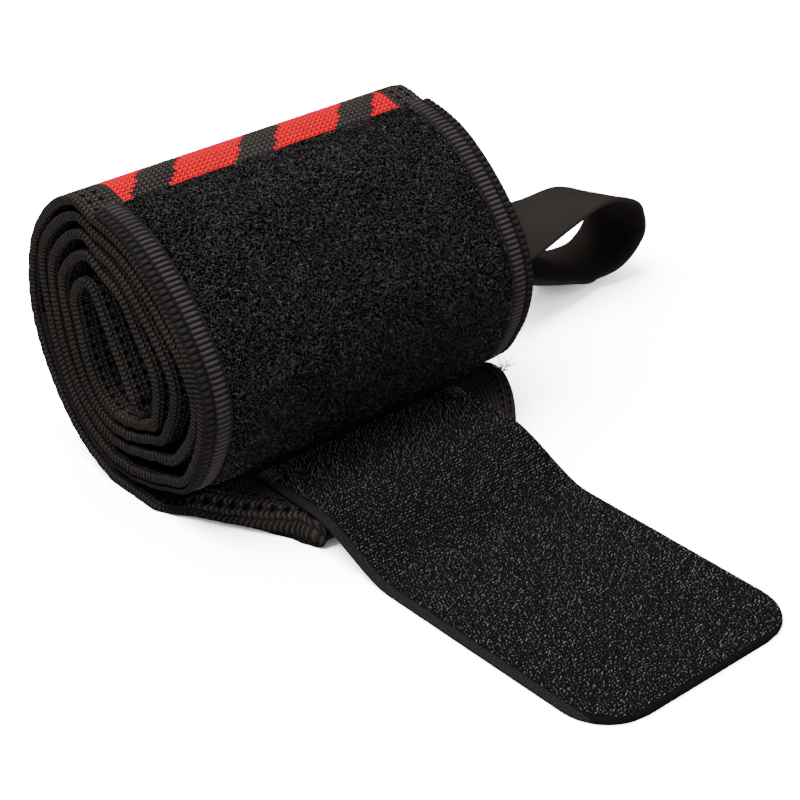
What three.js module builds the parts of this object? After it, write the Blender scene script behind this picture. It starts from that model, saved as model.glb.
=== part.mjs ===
// A lifter's wrist wrap, rolled up loosely and lying on a table: a woven elastic band wound in a spiral,
// a loop-pile panel with ribbed edges on its outer face, a tab of hook tape sewn on the hemmed front end,
// and a thumb loop of narrow elastic sewn on the inner end and pulled out of the roll's side.
// Millimetres. X runs along the roll's axis towards the thumb loop, -Y is the way the tab points, Z is up.
// The origin is on the table, under the middle of the roll.

import * as THREE from "three";

// The elastic band
const BAND_WIDTH = 80;
const BAND_THICKNESS = 1.8;

// The roll, by the height of its centre over the table
const ROLL_RADIUS = 28.9;
const TURN_GAP = 0.3; // least air between two turns

// The inner end of the band crosses the core as a flat tongue
const WINDING_END = 1485; // degrees from the back, where the tongue's bend begins
const TONGUE_BEND = 4;
const TONGUE_LENGTH = 22;
const TONGUE_LEAN = 60; // degrees up from the table

// The hem at the front end of the band, folded twice, where the band narrows to the tab
const HEM_LENGTH = 19; // in front of the roll
const HEM_GAP = 0.5;
const HEM_TUCK = 2.5; // how far it runs on under the roll
const HEM_BORDER = 1.2; // how far the hem's narrow end stands out beside the tab
const HEM_RAMP = 8; // length over which the hem's upper layer comes down to the table
const LEFT_TAPER_FRONT = 6; // from the hem's front fold to where the band starts to widen
const LEFT_TAPER_LENGTH = 26;
const RIGHT_TAPER_FRONT = 2.5;
const RIGHT_TAPER_LENGTH = 17.5;
const TAPER_BOW = 1.3; // 1 is a straight taper, more is a rounder shoulder

// The panel of loop pile and its two ribbed edges
const PANEL_START = 82; // degrees, at the roll's top
const PANEL_LENGTH = 118;
const PANEL_THICKNESS = 2;
const EDGE_WIDTH = 6;
const EDGE_THICKNESS = 1.2;

// The tab of hook tape
const TAB_WIDTH = 50;
const TAB_THICKNESS = 1.4;
const TAB_LENGTH = 90;
const TAB_CORNER = 10;
const TAB_HEADROOM = 0.5; // air between the tab's sewn end and the roll above it
const TAB_FALL = 22; // length over which the tab comes down from the hem to the table

// The thumb loop
const THUMB_WIDTH = 20;
const THUMB_THICKNESS = 1;
const THUMB_REACH = 60; // from the roll's end to the middle of the loop's tip
const THUMB_ROOT = 26; // how deep its two ends are sewn inside the roll
const THUMB_EXIT = 2; // how far they run on beside the tongue before they bend away

// Air between pieces that are sewn together
const SEW_GAP = 0.3;

// Fineness of the curves
const TURN_STEP = 7.5; // degrees
const THUMB_STEPS = 84;
const ARC_STEPS = 6;
const TAB_STEPS = 45;

const RADIANS = Math.PI / 180;
const COVER = PANEL_THICKNESS + SEW_GAP;
const STACK = BAND_THICKNESS + TURN_GAP;
const PANEL_END = PANEL_START + PANEL_LENGTH / (ROLL_RADIUS - COVER - STACK) / RADIANS;

// The roll's outline: an oval that leans back, flattened in front of its top. The angle goes from the
// back over the top, and the radius is a share of ROLL_RADIUS.
const ROLL_SHAPE = [
  { angle: -90, radius: 1.02 },
  { angle: -75, radius: 1 },
  { angle: -60, radius: 0.985 },
  { angle: -45, radius: 0.965 },
  { angle: -30, radius: 0.95 },
  { angle: -15, radius: 0.955 },
  { angle: 0, radius: 0.975 },
  { angle: 15, radius: 1 },
  { angle: 30, radius: 1.035 },
  { angle: 45, radius: 1.055 },
  { angle: 60, radius: 1.065 },
  { angle: 75, radius: 1.04 },
  { angle: 90, radius: 0.985 },
  { angle: 105, radius: 0.94 },
  { angle: 120, radius: 0.9 },
  { angle: 135, radius: 0.887 },
  { angle: 150, radius: 0.905 },
  { angle: 165, radius: 0.95 },
  { angle: 180, radius: 0.99 },
  { angle: 195, radius: 0.998 },
  { angle: 210, radius: 1 },
  { angle: 225, radius: 1.01 },
  { angle: 240, radius: 0.945 },
  { angle: 255, radius: 0.96 },
];

// Where the winding is slack: extra air between a turn and the one outside it, as a share of ROLL_RADIUS
const WINDING_SLACK = [
  { angle: 270, slack: 0 },
  { angle: 360, slack: 0.015 },
  { angle: 440, slack: 0.035 },
  { angle: 500, slack: 0.025 },
  { angle: 540, slack: 0 },
  { angle: 600, slack: 0.09 },
  { angle: 680, slack: 0.03 },
  { angle: 800, slack: 0.045 },
  { angle: 860, slack: 0.09 },
  { angle: 905, slack: 0.14 },
  { angle: 975, slack: 0.03 },
  { angle: 1080, slack: 0.05 },
  { angle: 1170, slack: 0.07 },
  { angle: 1250, slack: 0.12 },
  { angle: 1320, slack: 0.02 },
  { angle: 1420, slack: 0.06 },
  { angle: 1500, slack: 0.08 },
];

// The thumb loop's route, from its lower end in the core out to the tip and back. Out is measured from
// the roll's end as a share of THUMB_REACH, side and up from the tongue and the table as shares of
// ROLL_RADIUS. Lean tips the ribbon's width up from level and skew turns it outwards, in degrees.
const THUMB_ROUTE = [
  { out: 0.167, side: 0.228, up: 0.713, lean: 38, skew: 8 },
  { out: 0.35, side: 0.173, up: 0.484, lean: 14, skew: 4 },
  { out: 0.583, side: 0.228, up: 0.26, lean: 10, skew: -6 },
  { out: 0.75, side: 0.291, up: 0.09, lean: -4, skew: 0 },
  { out: 0.9, side: 0.249, up: 0.118, lean: -9, skew: 6 },
  { out: 0.997, side: 0.256, up: 0.311, lean: -10, skew: 4 },
  { out: 0.975, side: 0.28, up: 0.502, lean: -13, skew: 3 },
  { out: 0.875, side: 0.27, up: 0.63, lean: -14, skew: 6 },
  { out: 0.75, side: 0.239, up: 0.685, lean: -12, skew: 9 },
  { out: 0.6, side: 0.228, up: 0.657, lean: -5, skew: 6 },
  { out: 0.433, side: 0.228, up: 0.63, lean: 8, skew: 3 },
  { out: 0.267, side: 0.18, up: 0.713, lean: 28, skew: 2 },
  { out: 0.133, side: 0.097, up: 0.872, lean: 48, skew: 0 },
];

/** A step from 0 to 1 that starts and ends level. */
function smooth(t) {
  const u = Math.min(1, Math.max(0, t));
  return u * u * (3 - 2 * u);
}

/** Reads a column of a table by its angle, with a smooth step between its rows. */
function fromTable(rows, column, angle) {
  const next = rows.findIndex((row) => row.angle >= angle);
  if (next === 0) return rows[0][column];
  if (next < 0) return rows[rows.length - 1][column];
  const [a, b] = [rows[next - 1], rows[next]];
  return THREE.MathUtils.lerp(a[column], b[column], smooth((angle - a.angle) / (b.angle - a.angle)));
}

/** The radius of the roll's outline at an angle: a closed curve through ROLL_SHAPE, kept above the table. */
function outlineRadius(angle) {
  const count = ROLL_SHAPE.length;
  const turned = (THREE.MathUtils.euclideanModulo(angle - ROLL_SHAPE[0].angle, 360) * count) / 360;
  const row = Math.floor(turned);
  const u = turned - row;
  const [a, b, c, d] = [-1, 0, 1, 2].map((k) => ROLL_SHAPE[(row + k + count) % count].radius);
  const share = b + 0.5 * u * (c - a + u * (2 * a - 5 * b + 4 * c - d + u * (3 * (b - c) + d - a)));
  const down = -Math.sin(angle * RADIANS);
  return ROLL_RADIUS * (down > 0 ? Math.min(share, 1 / down) : share);
}

/** The radius of the band's outer face at an angle of the winding, which runs on from turn to turn. */
function windingRadius(angle) {
  const slack = ROLL_RADIUS * fromTable(WINDING_SLACK, "slack", angle);
  if (angle < 270) {
    const covered = smooth((angle - PANEL_START + 15) / 15);
    const onTail = smooth((angle - 240) / 30);
    return outlineRadius(angle) - COVER * covered - (STACK + TURN_GAP + slack) * onTail;
  }
  const room = (COVER + TURN_GAP) * (1 - smooth((angle - PANEL_END) / 40));
  return windingRadius(angle - 360) - STACK - room - slack;
}

/** A point of the band's outer face in the winding: x is the object's Y and y its Z. */
function windingPoint(angle) {
  const radius = windingRadius(angle);
  const turned = angle * RADIANS;
  return new THREE.Vector2(radius * Math.cos(turned), ROLL_RADIUS + radius * Math.sin(turned));
}

/** Points of an arc that leaves a point in a heading and turns left, or right for a negative radius. */
function arcFrom(start, heading, radius, turn, steps) {
  const centre = new THREE.Vector2(-Math.sin(heading), Math.cos(heading)).multiplyScalar(radius).add(start);
  const arm = start.clone().sub(centre);
  return Array.from({ length: steps }, (_, i) => {
    const turned = (Math.sign(radius) * turn * (i + 1)) / steps;
    return arm.clone().rotateAround(new THREE.Vector2(), turned).add(centre);
  });
}

/** Points along a straight stretch, without its start. */
function straightTo(start, end, steps) {
  return Array.from({ length: steps }, (_, i) => start.clone().lerp(end, (i + 1) / steps));
}

/** Moves a line sideways, to its left as it is walked. */
function offset(line, distance) {
  return line.map((point, i) => {
    const before = line[Math.max(0, i - 1)];
    const after = line[Math.min(line.length - 1, i + 1)];
    const along = after.clone().sub(before).normalize();
    return new THREE.Vector2(point.x - along.y * distance, point.y + along.x * distance);
  });
}

/** Length along a line up to each of its points. */
function lengthsAlong(line) {
  const lengths = [0];
  for (let i = 1; i < line.length; i++) lengths.push(lengths[i - 1] + line[i].distanceTo(line[i - 1]));
  return lengths;
}

/** A closed solid through a row of sections, each a ring of points in the same order. */
function loft(rings) {
  const sides = rings[0].length;
  const faces = [];
  for (let i = 0; i + 1 < rings.length; i++) {
    for (let k = 0; k < sides; k++) {
      const a = i * sides + k;
      const b = i * sides + ((k + 1) % sides);
      faces.push(a, b, b + sides, a, b + sides, a + sides);
    }
  }
  const last = (rings.length - 1) * sides;
  for (let k = 1; k + 1 < sides; k++) {
    faces.push(0, k + 1, k);
    faces.push(last, last + k, last + k + 1);
  }
  const geometry = new THREE.BufferGeometry();
  const positions = rings.flat().flatMap((point) => point.toArray());
  geometry.setAttribute("position", new THREE.Float32BufferAttribute(positions, 3));
  geometry.setIndex(faces);
  geometry.computeVertexNormals();
  return geometry;
}

/** A strip between two offsets of a line, with its left and right edge given for each point. */
function strip(line, nearSide, farSide, edgesAt) {
  const near = offset(line, nearSide);
  const far = offset(line, farSide);
  const rings = line.map((_, i) => {
    const [left, right] = edgesAt(i);
    return [
      new THREE.Vector3(left, near[i].x, near[i].y),
      new THREE.Vector3(left, far[i].x, far[i].y),
      new THREE.Vector3(right, far[i].x, far[i].y),
      new THREE.Vector3(right, near[i].x, near[i].y),
    ];
  });
  return loft(rings);
}

// Heights and places in front of the roll
const HEM_TOP = 3 * BAND_THICKNESS + 2 * HEM_GAP;
const TAB_SEAT = HEM_TOP + SEW_GAP;
const TAB_ROOF = TAB_SEAT + TAB_THICKNESS + TAB_HEADROOM;

/** The Y at which the roll's front face, with its panel, stands at a height, found by halving. */
function rollFrontAt(height) {
  let [low, high] = [180, 262];
  while (high - low > 0.01) {
    const angle = (low + high) / 2;
    const reach = (windingRadius(angle) + COVER) * Math.sin(angle * RADIANS);
    if (ROLL_RADIUS + reach > height) low = angle;
    else high = angle;
  }
  return (windingRadius(low) + COVER) * Math.cos(low * RADIANS);
}

const TAB_BACK = rollFrontAt(TAB_ROOF);
const HEM_FRONT = TAB_BACK - HEM_LENGTH;

/** The band's outer face in the hem: the cut end inside, round two folds, then back down to the table. */
function hemLine() {
  const foldOuter = HEM_TOP / 2; // half the whole hem's height, the outer radius of its front fold
  const hemBack = TAB_BACK + HEM_TUCK;
  const backFold = hemBack - BAND_THICKNESS - HEM_GAP / 2;
  const frontFold = HEM_FRONT + foldOuter;
  const inner = BAND_THICKNESS + HEM_GAP;
  const upper = 2 * inner;
  const line = [new THREE.Vector2(frontFold, inner)];
  line.push(...straightTo(line[0], new THREE.Vector2(backFold, inner), 6));
  line.push(...arcFrom(line.at(-1), 0, -HEM_GAP / 2, Math.PI, ARC_STEPS));
  line.push(...straightTo(line.at(-1), new THREE.Vector2(frontFold, BAND_THICKNESS), 6));
  line.push(...arcFrom(line.at(-1), Math.PI, BAND_THICKNESS - foldOuter, Math.PI, 2 * ARC_STEPS));
  line.push(...straightTo(line.at(-1), new THREE.Vector2(hemBack, upper), 6));
  for (let i = 1; i <= ARC_STEPS; i++) {
    const share = i / ARC_STEPS;
    line.push(new THREE.Vector2(hemBack + HEM_RAMP * share, upper * (1 - smooth(share))));
  }
  return line;
}

/** The band's outer face under the roll, round the winding and across the core. */
function rolledLine() {
  const line = straightTo(hem.at(-1), new THREE.Vector2(0, 0), 2);
  const firstAngle = -90 + TURN_STEP;
  const steps = Math.round((WINDING_END - firstAngle) / TURN_STEP);
  for (let i = 0; i <= steps; i++) {
    line.push(windingPoint(THREE.MathUtils.lerp(firstAngle, WINDING_END, i / steps)));
  }
  const heading = line.at(-1).clone().sub(line.at(-2)).angle();
  const lean = TONGUE_LEAN * RADIANS;
  line.push(...arcFrom(line.at(-1), heading, TONGUE_BEND, Math.PI + lean - heading, ARC_STEPS));
  const tongue = new THREE.Vector2(-Math.cos(lean), -Math.sin(lean)).multiplyScalar(TONGUE_LENGTH);
  line.push(...straightTo(line.at(-1), tongue.add(line.at(-1)), 4));
  return line;
}

const hem = hemLine();
const band = [...hem, ...rolledLine()];

/** The distance from the band's middle to an edge at a point of its line: it tapers to the tab at the hem. */
function bandEdge(i, front, length) {
  const narrow = TAB_WIDTH / 2 + HEM_BORDER;
  if (i >= hem.length) return BAND_WIDTH / 2;
  const backwards = (band[i].x - HEM_FRONT - front) / length;
  const forwards = THREE.MathUtils.clamp(1 - backwards, 0, 1);
  return THREE.MathUtils.lerp(BAND_WIDTH / 2, narrow, forwards ** TAPER_BOW);
}

/** The part of the winding's line that the panel covers. */
function panelLine() {
  const line = [];
  let [angle, length] = [PANEL_START, 0];
  while (length < PANEL_LENGTH) {
    line.push(windingPoint(angle));
    angle += TURN_STEP;
    if (line.length > 1) length += line.at(-1).distanceTo(line.at(-2));
  }
  return line;
}

/** The tab's under face, from under the roll forwards: level on the hem, then down to the table. */
function tabLine() {
  const level = HEM_LENGTH - HEM_TOP / 2;
  return Array.from({ length: TAB_STEPS + 1 }, (_, i) => {
    const along = (TAB_LENGTH * i) / TAB_STEPS;
    const fall = smooth((along - level) / TAB_FALL);
    return new THREE.Vector2(TAB_BACK - along, TAB_SEAT * (1 - fall));
  });
}

/** Half the tab's width at a length from its free end, whose corners are rounded. */
function tabHalfWidth(fromEnd) {
  const inside = Math.max(0, TAB_CORNER - fromEnd);
  return TAB_WIDTH / 2 - TAB_CORNER + Math.sqrt(Math.max(0, TAB_CORNER ** 2 - inside ** 2));
}

/** The thumb loop as a ribbon on a smooth route, sewn to both faces of the tongue. */
function thumbLoop() {
  const tongueMiddle = band.at(-1).clone().lerp(band.at(-5), 0.5);
  const lean = TONGUE_LEAN * RADIANS;
  const across = new THREE.Vector2(-Math.sin(lean), Math.cos(lean));
  const seat = SEW_GAP + THUMB_THICKNESS / 2;
  const end = BAND_WIDTH / 2;
  const behind = across.clone().multiplyScalar(-seat - BAND_THICKNESS).add(tongueMiddle);
  const before = across.clone().multiplyScalar(seat).add(tongueMiddle);
  const rootRow = (x, point) => ({ x, y: point.x, z: point.y, lean: TONGUE_LEAN, skew: 0 });
  const rows = THUMB_ROUTE.map((row) => ({
    x: end + row.out * THUMB_REACH,
    y: tongueMiddle.x + row.side * ROLL_RADIUS,
    z: row.up * ROLL_RADIUS,
    lean: row.lean,
    skew: row.skew,
  }));
  const root = [end - THUMB_ROOT, end - THUMB_ROOT / 2, end, end + THUMB_EXIT];
  rows.unshift(...root.map((x) => rootRow(x, behind)));
  rows.push(...root.reverse().map((x) => rootRow(x, before)));
  const route = new THREE.CatmullRomCurve3(rows.map((row) => new THREE.Vector3(row.x, row.y, row.z)), false);
  const turns = new THREE.CatmullRomCurve3(
    rows.map((row) => new THREE.Vector3(row.lean * RADIANS, row.skew * RADIANS, 0)),
    false
  );
  const rings = [];
  for (let i = 0; i <= THUMB_STEPS; i++) {
    const t = route.getUtoTmapping(i / THUMB_STEPS);
    const centre = route.getPoint(t);
    const along = route.getTangent(t);
    const turned = turns.getPoint(t);
    const wide = new THREE.Vector3(
      Math.sin(turned.y),
      Math.cos(turned.y) * Math.cos(turned.x),
      Math.cos(turned.y) * Math.sin(turned.x)
    );
    wide.addScaledVector(along, -wide.dot(along)).setLength(THUMB_WIDTH / 2);
    const thick = along.clone().cross(wide).setLength(THUMB_THICKNESS / 2);
    rings.push([
      centre.clone().sub(wide).sub(thick),
      centre.clone().add(wide).sub(thick),
      centre.clone().add(wide).add(thick),
      centre.clone().sub(wide).add(thick),
    ]);
  }
  return loft(rings);
}

const wrap = new THREE.Group();

/** Adds a named piece in its own material to the group. */
function add(name, geometry, color, roughness) {
  const mesh = new THREE.Mesh(geometry, new THREE.MeshStandardMaterial({ color, roughness, metalness: 0 }));
  mesh.name = name;
  wrap.add(mesh);
}

add(
  "elastic_band",
  strip(band, 0, BAND_THICKNESS, (i) => [
    -bandEdge(i, LEFT_TAPER_FRONT, LEFT_TAPER_LENGTH),
    bandEdge(i, RIGHT_TAPER_FRONT, RIGHT_TAPER_LENGTH),
  ]),
  0x3a3733,
  0.95
);

const edgeInner = BAND_WIDTH / 2 - EDGE_WIDTH;
const pileHalf = edgeInner - SEW_GAP;
const covered = panelLine();
add("loop_panel", strip(covered, -SEW_GAP - PANEL_THICKNESS, -SEW_GAP, () => [-pileHalf, pileHalf]), 0x171716, 1);
for (const [name, left, right] of [
  ["panel_edge_left", -BAND_WIDTH / 2, -edgeInner],
  ["panel_edge_right", edgeInner, BAND_WIDTH / 2],
]) {
  add(name, strip(covered, -SEW_GAP - EDGE_THICKNESS, -SEW_GAP, () => [left, right]), 0x38353a, 0.8);
}

const tab = tabLine();
const tabLengths = lengthsAlong(tab);
add(
  "hook_tab",
  strip(tab, -TAB_THICKNESS, 0, (i) => {
    const half = tabHalfWidth(tabLengths.at(-1) - tabLengths[i]);
    return [-half, half];
  }),
  0x1b1a1a,
  0.7
);

add("thumb_loop", thumbLoop(), 0x2e2b29, 0.95);

export default wrap;
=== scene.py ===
"""The looks of a rolled-up wrist wrap lying on a table.

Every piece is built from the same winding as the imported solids: the woven elastic band in its loose
spiral with the tapered hem, the pile panel with its fibres and ribbed edges, the tab of hook tape with its
hooks, the thumb loop, the sewn bar tacks and a few loose threads. Sizes are in millimetres until a mesh is
made. X runs along the roll's axis, -Y is the way the tab points and Z is up.
"""

import logging
import math
from dataclasses import dataclass, field
from enum import Enum

import bpy
import numpy as np
from mathutils import Matrix, Vector


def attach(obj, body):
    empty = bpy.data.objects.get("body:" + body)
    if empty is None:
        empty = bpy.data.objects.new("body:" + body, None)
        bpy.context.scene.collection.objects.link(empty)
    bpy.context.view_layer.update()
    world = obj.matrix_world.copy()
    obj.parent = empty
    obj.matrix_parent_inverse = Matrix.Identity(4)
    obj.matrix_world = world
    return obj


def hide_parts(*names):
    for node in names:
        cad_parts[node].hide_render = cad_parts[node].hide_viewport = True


LOG = logging.getLogger("wrist_wrap")
METRES = 0.001
TURN_STEP = 1.5  # degrees between the winding's points
HEM_STEPS = 14
TONGUE_STEPS = 10
TAB_STEP = 0.5  # millimetres between the tab's stations
SEED = 7
BARS_LENGTH = 38.0  # of the red bars, back from the panel's start
BARS_UNDER_PANEL = 1.0

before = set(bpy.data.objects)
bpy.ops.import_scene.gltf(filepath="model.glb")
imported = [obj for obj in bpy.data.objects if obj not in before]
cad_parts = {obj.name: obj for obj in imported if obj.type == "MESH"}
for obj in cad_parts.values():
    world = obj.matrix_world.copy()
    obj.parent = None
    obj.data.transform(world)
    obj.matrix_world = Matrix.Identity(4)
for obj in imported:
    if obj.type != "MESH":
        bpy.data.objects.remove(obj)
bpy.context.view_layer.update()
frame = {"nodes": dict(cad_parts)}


# Curves and tables


def smooth(t: np.ndarray) -> np.ndarray:
    """A step from 0 to 1 that starts and ends level.

    Args:
        t: The place in the step, clipped to 0 to 1.

    Returns:
        3 t^2 - 2 t^3 for each place.
    """
    u = np.clip(t, 0.0, 1.0)
    return u * u * (3 - 2 * u)


def stepped(xs: np.ndarray, ys: np.ndarray, x: np.ndarray) -> np.ndarray:
    """Reads a table with a smooth step between its rows.

    Args:
        xs: The rows' places, rising.
        ys: The rows' values.
        x: Where to read.

    Returns:
        The value at each x, with the first and last row held outside the table.
    """
    row = np.clip(np.searchsorted(xs, x, side="left"), 1, len(xs) - 1)
    share = smooth((x - xs[row - 1]) / (xs[row] - xs[row - 1]))
    return ys[row - 1] + (ys[row] - ys[row - 1]) * share


def unit(v: np.ndarray) -> np.ndarray:
    """Scales vectors to length one.

    Args:
        v: Vectors in the last axis.

    Returns:
        The same directions, each of length one.
    """
    return v / np.maximum(np.linalg.norm(v, axis=-1, keepdims=True), 1e-9)


def lengths_along(line: np.ndarray) -> np.ndarray:
    """Length along a line of points up to each of them.

    Args:
        line: Points, one a row.

    Returns:
        The running length, which starts at zero.
    """
    return np.concatenate([[0.0], np.cumsum(np.linalg.norm(np.diff(line, axis=0), axis=1))])


def resample(line: np.ndarray, step: float) -> np.ndarray:
    """Spaces the points of a line evenly.

    Args:
        line: Points, one a row.
        step: Wanted distance between points.

    Returns:
        Points on the same line, with both ends kept.
    """
    lengths = lengths_along(line)
    count = max(2, int(round(lengths[-1] / step)) + 1)
    at = np.linspace(0, lengths[-1], count)
    return np.stack([np.interp(at, lengths, line[:, k]) for k in range(line.shape[1])], axis=1)


def left_of(line: np.ndarray) -> np.ndarray:
    """Unit vectors to the left of a flat line as it is walked.

    Args:
        line: Points of a line in the Y Z plane.

    Returns:
        One unit vector for each point.
    """
    along = np.gradient(line, axis=0)
    return unit(np.stack([-along[:, 1], along[:, 0]], axis=1))


def arc_from(start: np.ndarray, heading: float, radius: float, turn: float, steps: int) -> np.ndarray:
    """Points of an arc that leaves a point in a heading.

    Args:
        start: Where the arc starts, left out of the result.
        heading: Direction of travel at the start, in radians.
        radius: Radius, positive for a left turn and negative for a right one.
        turn: How far it turns, in radians.
        steps: How many points.

    Returns:
        The points, in the order they are reached.
    """
    centre = start + radius * np.array([-math.sin(heading), math.cos(heading)])
    turned = np.sign(radius) * turn * np.arange(1, steps + 1) / steps
    arm = start - centre
    cos, sin = np.cos(turned), np.sin(turned)
    return centre + np.stack([arm[0] * cos - arm[1] * sin, arm[0] * sin + arm[1] * cos], axis=1)


def straight(start: np.ndarray, end: np.ndarray, steps: int) -> np.ndarray:
    """Points of a straight stretch, without its start.

    Args:
        start: First end.
        end: Last end.
        steps: How many points.

    Returns:
        Evenly spaced points up to the end.
    """
    share = np.arange(1, steps + 1)[:, None] / steps
    return start + (end - start) * share


def catmull(points: np.ndarray, t: np.ndarray) -> np.ndarray:
    """A centripetal Catmull-Rom curve through points, with straight run-outs at its ends.

    Args:
        points: The points, one a row.
        t: Places on the curve, from 0 to 1, in which each stretch takes an equal share.

    Returns:
        The curve's point at each place, by Hermite blending of each stretch's end tangents.
    """
    padded = np.vstack([2 * points[0] - points[1], points, 2 * points[-1] - points[-2]])
    place = np.clip(t, 0, 1) * (len(points) - 1)
    row = np.minimum(place.astype(int), len(points) - 2)
    u = (place - row)[:, None]
    a, b, c, d = (padded[row + k] for k in range(4))
    ab, bc, cd = (
        np.sqrt(np.maximum(np.linalg.norm(q - p, axis=1, keepdims=True), 1e-6))
        for p, q in ((a, b), (b, c), (c, d))
    )
    start = ((b - a) / ab - (c - a) / (ab + bc) + (c - b) / bc) * bc
    end = ((c - b) / bc - (d - b) / (bc + cd) + (d - c) / cd) * bc
    return (
        b * (2 * u**3 - 3 * u**2 + 1)
        + start * (u**3 - 2 * u**2 + u)
        + c * (3 * u**2 - 2 * u**3)
        + end * (u**3 - u**2)
    )


# Sizes


@dataclass(frozen=True)
class RollSizes:
    """Sizes of the band and its winding, in millimetres and degrees.

    The angles say where the winding starts and ends, where it makes room for the panel before the panel's
    start, for the tail under it and for the panel's far end, and where its first turn ends.
    """

    width: float = 80.0
    thickness: float = 1.8
    radius: float = 28.9
    turn_gap: float = 0.3
    winding_start: float = -82.5
    panel_rise: float = 15.0
    tail_start: float = 240.0
    tail_rise: float = 30.0
    first_turn: float = 270.0
    panel_fall: float = 40.0
    winding_end: float = 1485.0
    tongue_bend: float = 4.0
    tongue_length: float = 22.0
    tongue_lean: float = 60.0
    hem_length: float = 19.0
    hem_gap: float = 0.5
    hem_tuck: float = 2.5
    hem_border: float = 1.2
    hem_ramp: float = 8.0
    left_taper_front: float = 6.0
    left_taper_length: float = 26.0
    right_taper_front: float = 2.5
    right_taper_length: float = 17.5
    taper_bow: float = 1.3
    sew_gap: float = 0.3


@dataclass(frozen=True)
class PanelSizes:
    """Sizes of the pile panel and its ribbed edges; the panel starts at an angle of the winding."""

    start: float = 82.0
    length: float = 118.0
    thickness: float = 2.0
    edge_width: float = 6.0
    edge_thickness: float = 1.2
    block_width: float = 2.2
    block_pitch: float = 1.25
    rib_pitch: float = 1.0
    groove_width: float = 0.3
    groove_lift: float = 0.8
    edge_gap: float = 0.1
    pile_gap: float = 0.04
    pile_step: float = 0.8
    pile_columns: int = 84
    shoulder: float = 1.6
    tuft: float = 0.12
    tuft_room: float = 0.35
    least_pile: float = 0.3
    fibres: int = 9600
    fibre_overlap: float = 0.5
    # sizes of the lighter fibres, whose grey is painted sheen
    sheen_fibre_radius: float = 0.024
    sheen_fibre_lengths: tuple = (0.4, 1.1)
    dark_radius: float = 0.03
    dark_lengths: tuple = (0.4, 0.9)


@dataclass(frozen=True)
class TabSizes:
    """Sizes of the tab of hook tape."""

    width: float = 50.0
    thickness: float = 1.4
    tape: float = 0.85
    length: float = 90.0
    corner: float = 10.0
    headroom: float = 0.5
    fall: float = 22.0
    left_selvage: float = 1.7
    right_selvage: float = 0.5
    hook_pitch: float = 0.7
    tack_threads: int = 7
    tack_pitch: float = 0.58
    tack_end: float = 3.6


@dataclass(frozen=True)
class LoopSizes:
    """Sizes of the thumb loop."""

    width: float = 20.0
    thickness: float = 1.0
    reach: float = 60.0
    root: float = 26.0
    exit: float = 2.0


OUTLINE = np.array(
    [
        1.02, 1.0, 0.985, 0.965, 0.95, 0.955, 0.975, 1.0, 1.035, 1.055, 1.065, 1.04,
        0.985, 0.94, 0.9, 0.887, 0.905, 0.95, 0.99, 0.998, 1.0, 1.01, 0.945, 0.96,
    ]
)  # the roll's radius every 15 degrees from straight down, over the back, as a share of the radius

SLACK = np.array(
    [
        [270, 0], [360, 0.015], [440, 0.035], [500, 0.025], [540, 0], [600, 0.09], [680, 0.03],
        [800, 0.045], [860, 0.09], [905, 0.14], [975, 0.03], [1080, 0.05], [1170, 0.07],
        [1250, 0.12], [1320, 0.02], [1420, 0.06], [1500, 0.08],
    ]
)  # degrees of winding, and the extra air outside that turn as a share of the radius

ROUTE = np.array(
    [
        [0.167, 0.228, 0.713, 38, 8], [0.35, 0.173, 0.484, 14, 4], [0.583, 0.228, 0.26, 10, -6],
        [0.75, 0.291, 0.09, -4, 0], [0.9, 0.249, 0.118, -9, 6], [0.997, 0.256, 0.311, -10, 4],
        [0.975, 0.28, 0.502, -13, 3], [0.875, 0.27, 0.63, -14, 6], [0.75, 0.239, 0.685, -12, 9],
        [0.6, 0.228, 0.657, -5, 6], [0.433, 0.228, 0.63, 8, 3], [0.267, 0.18, 0.713, 28, 2],
        [0.133, 0.097, 0.872, 48, 0],
    ]
)  # the thumb loop's out, side and up as shares of its reach and the roll's radius, lean and skew


# Meshes


def linked(name: str, data: bpy.types.ID) -> bpy.types.Object:
    """Puts some data in the scene as an object.

    Args:
        name: The object's name.
        data: The mesh, light or camera that it shows.

    Returns:
        The object, at the origin.
    """
    made = bpy.data.objects.new(name, data)
    bpy.context.scene.collection.objects.link(made)
    return made


@dataclass
class MeshParts:
    """Points and faces of one mesh, with a texture place for each point."""

    points: np.ndarray
    faces: list[np.ndarray]
    places: np.ndarray

    def signed_volume(self) -> float:
        """Volume inside the faces.

        Returns:
            Six times the volume, negative where the faces look inwards.
        """
        total = 0.0
        for faces in self.faces:
            for k in range(1, faces.shape[1] - 1):
                a, b, c = (self.points[faces[:, i]] for i in (0, k, k + 1))
                total += float(np.einsum("ij,ij->", a, np.cross(b, c)))
        return total

    def to_object(self, name: str, material: bpy.types.Material) -> bpy.types.Object:
        """Makes the mesh object, with its faces outwards and shaded smooth.

        Args:
            name: The object's name.
            material: Its material.

        Returns:
            The object, at the origin.
        """
        if self.signed_volume() < 0:
            self.faces = [faces[:, ::-1] for faces in self.faces]
        mesh = bpy.data.meshes.new(name)
        mesh.vertices.add(len(self.points))
        mesh.vertices.foreach_set("co", (self.points * METRES).astype(np.float32).ravel())
        corners = np.concatenate([faces.ravel() for faces in self.faces]).astype(np.int32)
        totals = np.concatenate([np.full(len(f), f.shape[1]) for f in self.faces]).astype(np.int32)
        starts = np.concatenate([[0], np.cumsum(totals)[:-1]]).astype(np.int32)
        mesh.loops.add(len(corners))
        mesh.loops.foreach_set("vertex_index", corners)
        mesh.polygons.add(len(totals))
        mesh.polygons.foreach_set("loop_start", starts)
        mesh.polygons.foreach_set("use_smooth", np.full(len(totals), True))
        layer = mesh.uv_layers.new(name="UVMap")
        layer.data.foreach_set("uv", self.places[corners].astype(np.float32).ravel())
        mesh.update(calc_edges=True)
        mesh.validate()
        mesh.materials.append(material)
        return linked(name, mesh)


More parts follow.
